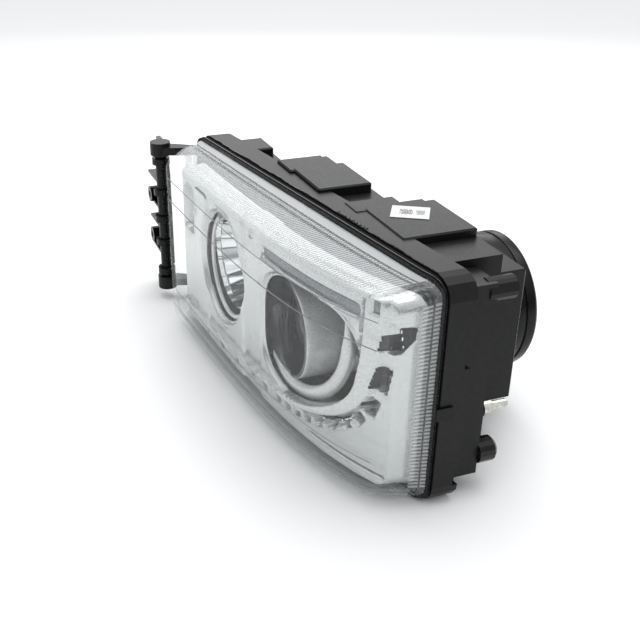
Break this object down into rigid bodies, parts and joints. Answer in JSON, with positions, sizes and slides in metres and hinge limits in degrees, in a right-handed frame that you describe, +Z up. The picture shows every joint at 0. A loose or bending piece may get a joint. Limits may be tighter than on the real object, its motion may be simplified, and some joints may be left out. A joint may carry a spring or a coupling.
{
  "type": "headlamp",
  "caption": "Wide truck-style headlamp with a clear fluted lens, projector low beam, round high beam, running-light row, black stepped housing, round rear caps and a hinge bracket.",
  "frame": {"origin": "middle of the base, on the surface the lamp stands on", "axes": "+Z up, +Y to the rear of the lamp, +X towards the outboard end of the lens"},
  "size_m": [0.5662, 0.2936, 0.2285],
  "materials": {
    "black_plastic": "moulded black plastic, satin",
    "black_rubber": "black rubber",
    "clear_plastic": "clear polished plastic lens",
    "satin_silver": "satin metallised plastic",
    "mirror_chrome": "bright metallised reflector",
    "zinc": "zinc plated",
    "steel": "plain steel",
    "grey_plastic": "grey moulded plastic",
    "amber_glass": "amber bulb glass",
    "bulb_glass": "clear glass",
    "white_label": "white paper sticker",
    "circuit_green": "circuit board",
    "brass": "contact brass"
  },
  "bodies": {
    "lamp": {"housing": "black_plastic", "outer_lens": "clear_plastic", "lens_gasket": "black_rubber", "bezel": "satin_silver", "bezel_screw_1": "steel", "bezel_screw_2": "steel", "bezel_screw_3": "steel", "drl_reflector_strip": "mirror_chrome", "drl_circuit_board": "circuit_green", "led_driver": "steel", "hinge_pin_upper": "steel", "hinge_pin_lower": "steel", "pivot_ball_stud": "steel", "levelling_motor": "black_plastic", "horizontal_adjuster_collar": "black_plastic", "projector_surround": "mirror_chrome", "turn_signal_reflector": "mirror_chrome", "connector_socket": "black_plastic", "connector_pin_1": "brass", "connector_pin_2": "brass", "connector_pin_3": "brass", "vent_elbow": "black_rubber", "breather_cap": "black_rubber", "mounting_sleeve": "steel", "lens_clip_1": "steel", "lens_clip_2": "steel", "label_sticker": "white_label"},
    "pivot_socket": {"pivot_ball_socket": "grey_plastic"},
    "reflectors": {"reflector_carrier": "black_plastic", "projector_shroud": "satin_silver", "projector_lens": "bulb_glass", "projector_lens_holder": "grey_plastic", "projector_bowl": "mirror_chrome", "cutoff_shield": "steel", "high_beam_reflector": "mirror_chrome", "high_beam_glare_shield": "satin_silver"},
    "low_beam_holder": {"low_beam_socket": "black_plastic", "low_beam_bulb": "bulb_glass"},
    "high_beam_holder": {"high_beam_socket": "black_plastic", "high_beam_bulb": "bulb_glass"},
    "turn_signal_holder": {"turn_signal_socket": "grey_plastic", "turn_signal_bulb": "amber_glass"},
    "plunger": {"levelling_plunger": "grey_plastic"},
    "vertical_adjuster": {"vertical_adjuster_screw": "zinc"},
    "aim_rod": {"horizontal_adjuster_rod": "zinc"},
    "horizontal_adjuster": {"horizontal_adjuster_screw": "zinc"},
    "low_cap_seal": {"low_beam_cap_seal": "black_rubber"},
    "low_cap": {"low_beam_cap": "black_plastic"},
    "high_cap_seal": {"high_beam_cap_seal": "black_rubber"},
    "high_cap": {"high_beam_cap": "black_plastic"},
    "bracket": {"hinge_bracket": "black_plastic"}
  },
  "joints": [
    {"name": "reflector_yaw", "type": "hinge", "parent": "lamp", "child": "pivot_socket", "pos_m": [-0.0141, -0.01525, 0.078], "axis": [0, 0, 1], "range_deg": [-2, 2]},
    {"name": "reflector_tilt", "type": "hinge", "parent": "pivot_socket", "child": "reflectors", "pos_m": [-0.0141, -0.01525, 0.078], "axis": [1, 0, 0], "range_deg": [-2, 2]},
    {"name": "levelling_plunger_slide", "type": "slide", "parent": "lamp", "child": "plunger", "axis": [0, 1, 0], "range_m": [-0.0045, 0.0045]},
    {"name": "vertical_adjuster_spin", "type": "hinge", "parent": "lamp", "child": "vertical_adjuster", "pos_m": [-0.0141, 0.02605, 0.195], "axis": [0, 1, 0], "range_deg": [-380, 380]},
    {"name": "aim_rod_slide", "type": "slide", "parent": "lamp", "child": "aim_rod", "axis": [0, 1, 0], "range_m": [-0.0098, 0.0098]},
    {"name": "horizontal_adjuster_spin", "type": "hinge", "parent": "lamp", "child": "horizontal_adjuster", "pos_m": [0.2549, 0.03805, 0.078], "axis": [0, 1, 0], "range_deg": [-860, 860]},
    {"name": "low_beam_holder_twist", "type": "hinge", "parent": "reflectors", "child": "low_beam_holder", "pos_m": [0.1089, 0.02905, 0.112], "axis": [0, 1, 0], "range_deg": [0, 30]},
    {"name": "high_beam_holder_twist", "type": "hinge", "parent": "reflectors", "child": "high_beam_holder", "pos_m": [-0.0311, -0.03895, 0.134], "axis": [0, 1, 0], "range_deg": [0, 30]},
    {"name": "turn_signal_holder_twist", "type": "hinge", "parent": "lamp", "child": "turn_signal_holder", "pos_m": [-0.1201, -0.02095, 0.155], "axis": [0, 1, 0], "range_deg": [0, 45]},
    {"name": "low_cap_pull", "type": "slide", "parent": "lamp", "child": "low_cap_seal", "axis": [0, 1, 0], "range_m": [0, 0.06]},
    {"name": "low_cap_twist", "type": "hinge", "parent": "low_cap_seal", "child": "low_cap", "pos_m": [0.1089, 0.12075, 0.106], "axis": [0, 1, 0], "range_deg": [0, 35]},
    {"name": "high_cap_pull", "type": "slide", "parent": "lamp", "child": "high_cap_seal", "axis": [0, 1, 0], "range_m": [0, 0.05]},
    {"name": "high_cap_twist", "type": "hinge", "parent": "high_cap_seal", "child": "high_cap", "pos_m": [-0.0311, 0.03475, 0.134], "axis": [0, 1, 0], "range_deg": [0, 35]},
    {"name": "bracket_swing", "type": "hinge", "parent": "lamp", "child": "bracket", "pos_m": [-0.2291, -0.13425, 0.112], "axis": [0, 0, 1], "range_deg": [0, 75]}
  ],
  "couplings": [
    {"joint": "levelling_plunger_slide", "follows": "reflector_tilt", "m_per_rad": -0.117},
    {"joint": "vertical_adjuster_spin", "follows": "reflector_tilt", "ratio": -183.78},
    {"joint": "aim_rod_slide", "follows": "reflector_yaw", "m_per_rad": 0.269},
    {"joint": "horizontal_adjuster_spin", "follows": "reflector_yaw", "ratio": 422.54}
  ]
}
